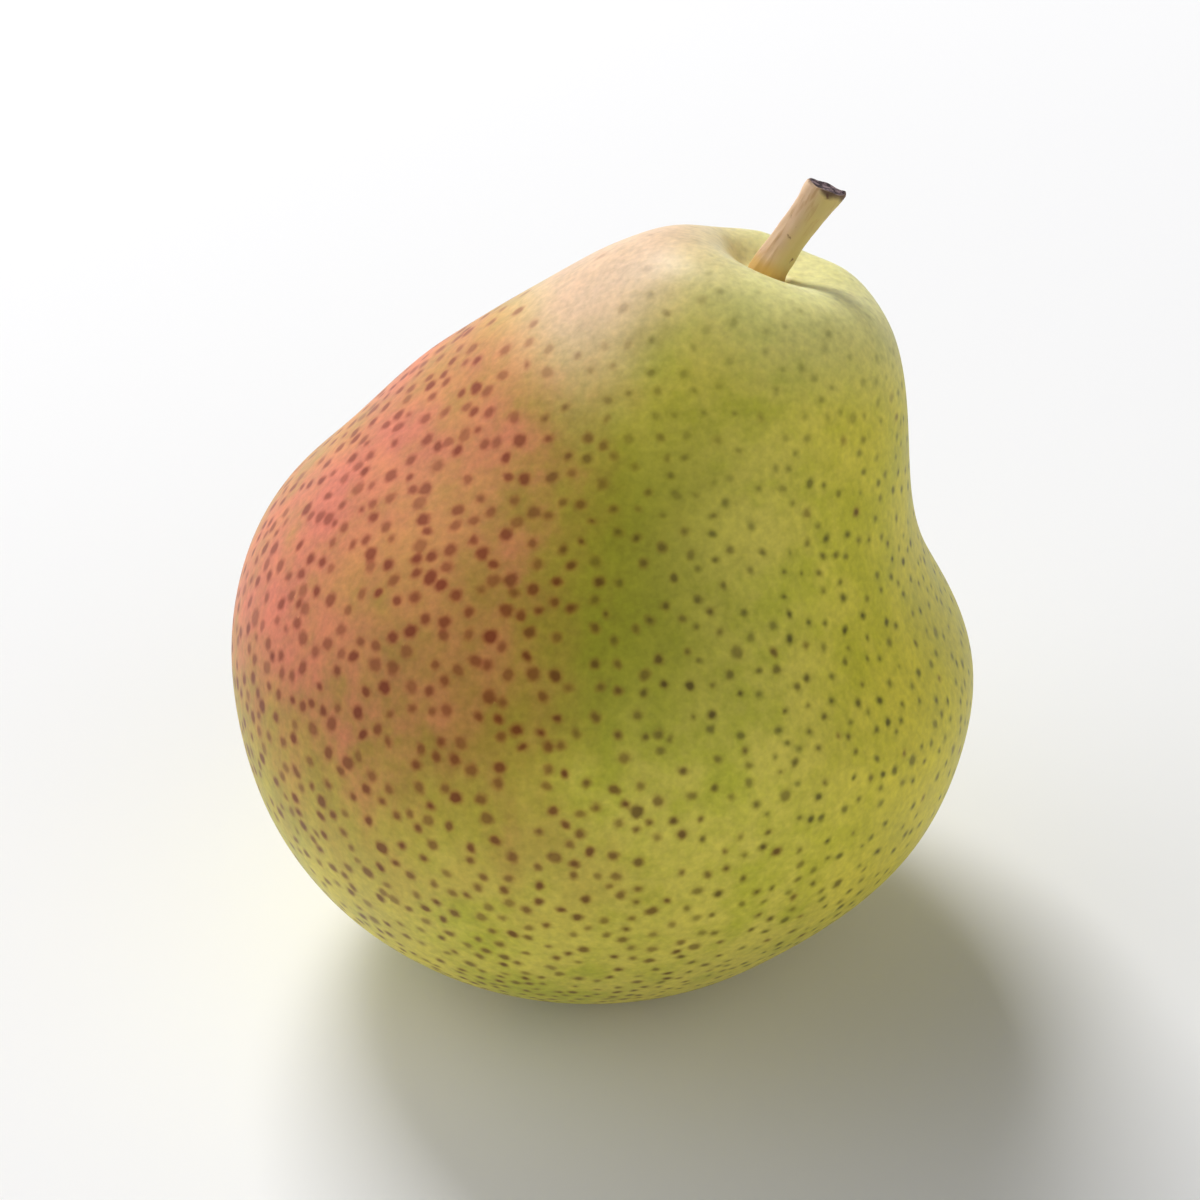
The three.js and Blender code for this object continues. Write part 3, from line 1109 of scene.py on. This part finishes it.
@dataclass
class Calyx:
    """The dried calyx in its basin: a cup, five curled sepals and a tuft of stamens."""

    node: Object
    finish: DriedTissue = DRIED_SEPAL
    axis: Vector = field(default_factory=lambda: Vector((0.24, 0, 1)).normalized())
    cup_mm: float = 2.75
    cup_wall_mm: float = 0.6
    cup_hang_mm: float = 1.2
    cup_depth_mm: float = 2.3
    sepal_count: int = 5
    sepal_mm: Span = (4.3, 2.5)
    sepal_thick_mm: float = 0.28
    stamen_count: int = 13
    stamen_mm: float = 3.0
    stamen_turn_rad: float = 2.4
    thread_mm: Span = (0.13, 0.07)
    anther_mm: float = 0.22
    anther_stretch: float = 1.6
    roof_mm: float = 0.9

    def stance(self) -> Matrix:
        """The middle of the eye's mouth, with its local +Z pointing out of the fruit."""
        spots = sorted((v.co.copy() for v in self.node.data.vertices), key=self.axis.dot)
        high = self.axis.dot(spots[-1])
        roof = [p for p in spots if self.axis.dot(p) > high - 0.1 * MM]
        middle = sum(roof, Vector()) / len(roof)
        mouth = middle - self.axis * self.cup_depth_mm * MM
        return standing(mouth, Vector((0, 1, 0)), -self.axis)

    def build(self) -> None:
        """Makes the calyx and dresses it."""
        shape = bmesh.new()
        self.add_cup(shape)
        for number in range(self.sepal_count):
            self.add_sepal(shape, number)
        for number in range(self.stamen_count):
            self.add_stamen(shape, number)
        bmesh.ops.transform(shape, matrix=self.stance(), verts=shape.verts)
        piece = rounded_piece("dried_calyx", shape, 2)
        piece.data.materials.append(self.finish.material())
        hand_over(piece, Part.CALYX)

    def add_cup(self, shape: BMesh) -> None:
        """Spins the cup, whose wall is thin at its ragged lip."""
        inner = (self.cup_mm - self.cup_wall_mm) * MM
        roof = -self.cup_depth_mm * MM
        lip = self.cup_hang_mm * MM
        outline = [
            (0.0, roof),
            (self.cup_mm * MM, roof),
            (self.cup_mm * MM, lip / 2),
            (self.cup_mm * MM * 0.97, lip),
            (inner, lip * 0.8),
            (inner, roof + self.roof_mm * MM),
            (0.0, roof + self.roof_mm * MM),
        ]
        points = [shape.verts.new((radius, 0, height)) for radius, height in outline]
        edges = [shape.edges.new(pair) for pair in zip(points, points[1:])]
        round_z = {"cent": (0, 0, 0), "axis": (0, 0, 1), "angle": 2 * math.pi, "steps": 20}
        bmesh.ops.spin(shape, geom=points + edges, use_merge=True, use_duplicate=False, **round_z)
        bmesh.ops.remove_doubles(shape, verts=shape.verts, dist=0.01 * MM)
        bmesh.ops.recalc_face_normals(shape, faces=shape.faces)

    def add_sepal(self, shape: BMesh, number: int) -> None:
        """Adds one dried sepal, a thin leaf that curls outwards and crinkles.

        Args:
            shape: The calyx so far.
            number: Which sepal it is.
        """
        length, width = self.sepal_mm
        grid = bmesh.ops.create_grid(shape, x_segments=8, y_segments=4, size=0.5)
        leaf = grid["verts"]
        turn = 2 * math.pi * number / self.sepal_count
        reach = length * (0.85 + 0.3 * abs(noise.noise(Vector((number * 3.7, 0, 0)))))
        for vertex in leaf:
            along, aside = vertex.co.x + 0.5, vertex.co.y
            taper = (1 - along) ** 0.7 * (0.75 + 0.9 * along) + 0.1
            crinkle = noise.noise(Vector((along * 3, aside * 4, number * 5.3))) * 0.5
            rise = 0.9 + 0.4 * math.sin(along * 2.4 + number) + crinkle
            vertex.co = Vector(
                (
                    self.cup_mm - self.cup_wall_mm * 0.7 + reach * along * (1 - 0.12 * along),
                    width * aside * taper,
                    rise + 0.5 * aside * aside * 4 * along,
                )
            )
        faces = list({f for v in leaf for f in v.link_faces})
        thick = bmesh.ops.solidify(shape, geom=faces, thickness=self.sepal_thick_mm)
        whole = set(leaf) | {g for g in thick["geom"] if isinstance(g, BMVert)}
        placed = Matrix.Rotation(turn, 4, "Z") @ Matrix.Scale(MM, 4)
        bmesh.ops.transform(shape, matrix=placed, verts=list(whole))

    def add_stamen(self, shape: BMesh, number: int) -> None:
        """Adds one dried stamen, a bent thread that ends in a small anther.

        Args:
            shape: The calyx so far.
            number: Which stamen it is.
        """
        turn = self.stamen_turn_rad * number
        distance = 0.5 + 0.09 * number
        length = self.stamen_mm * (0.75 + 0.35 * abs(noise.noise(Vector((0, number * 2.9, 0)))))
        low, high = self.thread_mm
        thread = bmesh.ops.create_cone(
            shape, cap_ends=True, segments=6, radius1=low, radius2=high, depth=length
        )["verts"]
        bmesh.ops.translate(shape, verts=thread, vec=(0, 0, length / 2))
        anther = bmesh.ops.create_icosphere(shape, subdivisions=1, radius=self.anther_mm)["verts"]
        bmesh.ops.scale(shape, verts=anther, vec=(1, 1, self.anther_stretch))
        bmesh.ops.translate(shape, verts=anther, vec=(0, 0, length))
        whole = thread + anther
        lean = Matrix.Rotation(0.16 + 0.05 * (number % 4), 4, "Y")
        place = Matrix.Translation((distance, 0, -self.cup_depth_mm + 0.6))
        placed = Matrix.Scale(MM, 4) @ Matrix.Rotation(turn, 4, "Z") @ place @ lean
        bmesh.ops.transform(shape, matrix=placed, verts=whole)


@dataclass
class Studio:
    """The white table, the soft light and the camera."""

    camera_mm: Triple = (36.5, -321.7, 247.2)
    aim_mm: Triple = (0.0, 0.0, 36.0)
    roll_deg: float = 3.25
    half_field: float = 0.146
    sensor_mm: float = 36.0
    table_m: float = 6.0
    room_strength: float = 0.08
    walls: tuple[tuple[Triple, float], ...] = (
        ((-0.93, 0.25, 0.26), 1.08),
        ((0.7, -0.71, 0.05), 0.82),
    )
    key_place_m: Triple = (-0.5, 1.08, 1.28)
    key_size_m: Span = (0.72, 0.58)
    key_watts: float = 24.0

    def build(self) -> None:
        """Makes the table, the lights and the camera."""
        self.table()
        self.light()
        self.camera()
        view = bpy.context.scene.view_settings
        view.view_transform = "Standard"
        view.look = "None"

    def table(self) -> None:
        """Lays the table top just under the pear."""
        mesh = bpy.data.meshes.new("table_top")
        shape = bmesh.new()
        bmesh.ops.create_grid(shape, x_segments=4, y_segments=4, size=self.table_m / 2)
        shape.to_mesh(mesh)
        shape.free()
        mesh.materials.append(WhiteTable().material())
        top = bpy.data.objects.new("table_top", mesh)
        bpy.context.scene.collection.objects.link(top)

    def light(self) -> None:
        """Sets the soft box behind, above and to the left, and a dim room with white walls beside the pear.

        The walls light both cheeks and leave the front of the neck, which faces the viewer, a little dark.
        """
        lamp = bpy.data.lights.new("soft_box", "AREA")
        lamp.shape = "RECTANGLE"
        lamp.size, lamp.size_y = self.key_size_m
        lamp.energy = self.key_watts
        holder = bpy.data.objects.new("soft_box", lamp)
        holder.location = self.key_place_m
        aim = Vector(self.aim_mm) * MM - holder.location
        holder.rotation_euler = aim.to_track_quat("-Z", "Y").to_euler()
        bpy.context.scene.collection.objects.link(holder)
        world = bpy.data.worlds.new("white_room")
        world.use_nodes = True
        tree = world.node_tree
        tree.nodes.clear()
        direction = add_node(tree, "TexCoord").outputs["Generated"]
        strength = self.room_strength
        for towards, wall_strength in self.walls:
            facing = add_node(
                tree,
                "VectorMath",
                {0: direction, 1: tuple(Vector(towards).normalized())},
                operation="DOT_PRODUCT",
            )
            wall = add_node(
                tree,
                "MapRange",
                {"Value": facing, "From Min": 0.3, "From Max": 0.95, "To Max": wall_strength},
                interpolation_type="SMOOTHSTEP",
            )
            strength = add_node(tree, "Math", {0: wall, 1: strength}, operation="ADD")
        room = add_node(tree, "Background", {"Color": linear("#FFFFFF"), "Strength": strength})
        add_node(tree, "OutputWorld", {"Surface": room})
        bpy.context.scene.world = world

    def camera(self) -> None:
        """Sets the camera at the photograph's viewing angle, with the pear in the middle."""
        lens = bpy.data.cameras.new("camera")
        lens.sensor_width = self.sensor_mm
        lens.lens = self.sensor_mm / 2 / self.half_field
        lens.clip_start, lens.clip_end = 0.01, 20
        holder = bpy.data.objects.new("camera", lens)
        holder.location = Vector(self.camera_mm) * MM
        aim = Vector(self.aim_mm) * MM - holder.location
        level = aim.to_track_quat("-Z", "Y").to_matrix().to_4x4()
        roll = Matrix.Rotation(math.radians(-self.roll_deg), 4, "Z")
        holder.matrix_world = Matrix.Translation(holder.location) @ level @ roll
        bpy.context.scene.collection.objects.link(holder)
        bpy.context.scene.camera = holder


def main() -> None:
    """Builds the pear and its studio, and reports each piece."""
    logging.basicConfig(level=logging.INFO, format="%(name)s: %(message)s")
    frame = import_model()
    nodes = frame["nodes"]
    stem = Stem(nodes[Part.STEM.value])
    Fruit(nodes[Part.FRUIT.value], stem).build()
    stem.build()
    Calyx(nodes[Part.CALYX.value]).build()
    Studio().build()


if __name__ == "__main__":
    main()
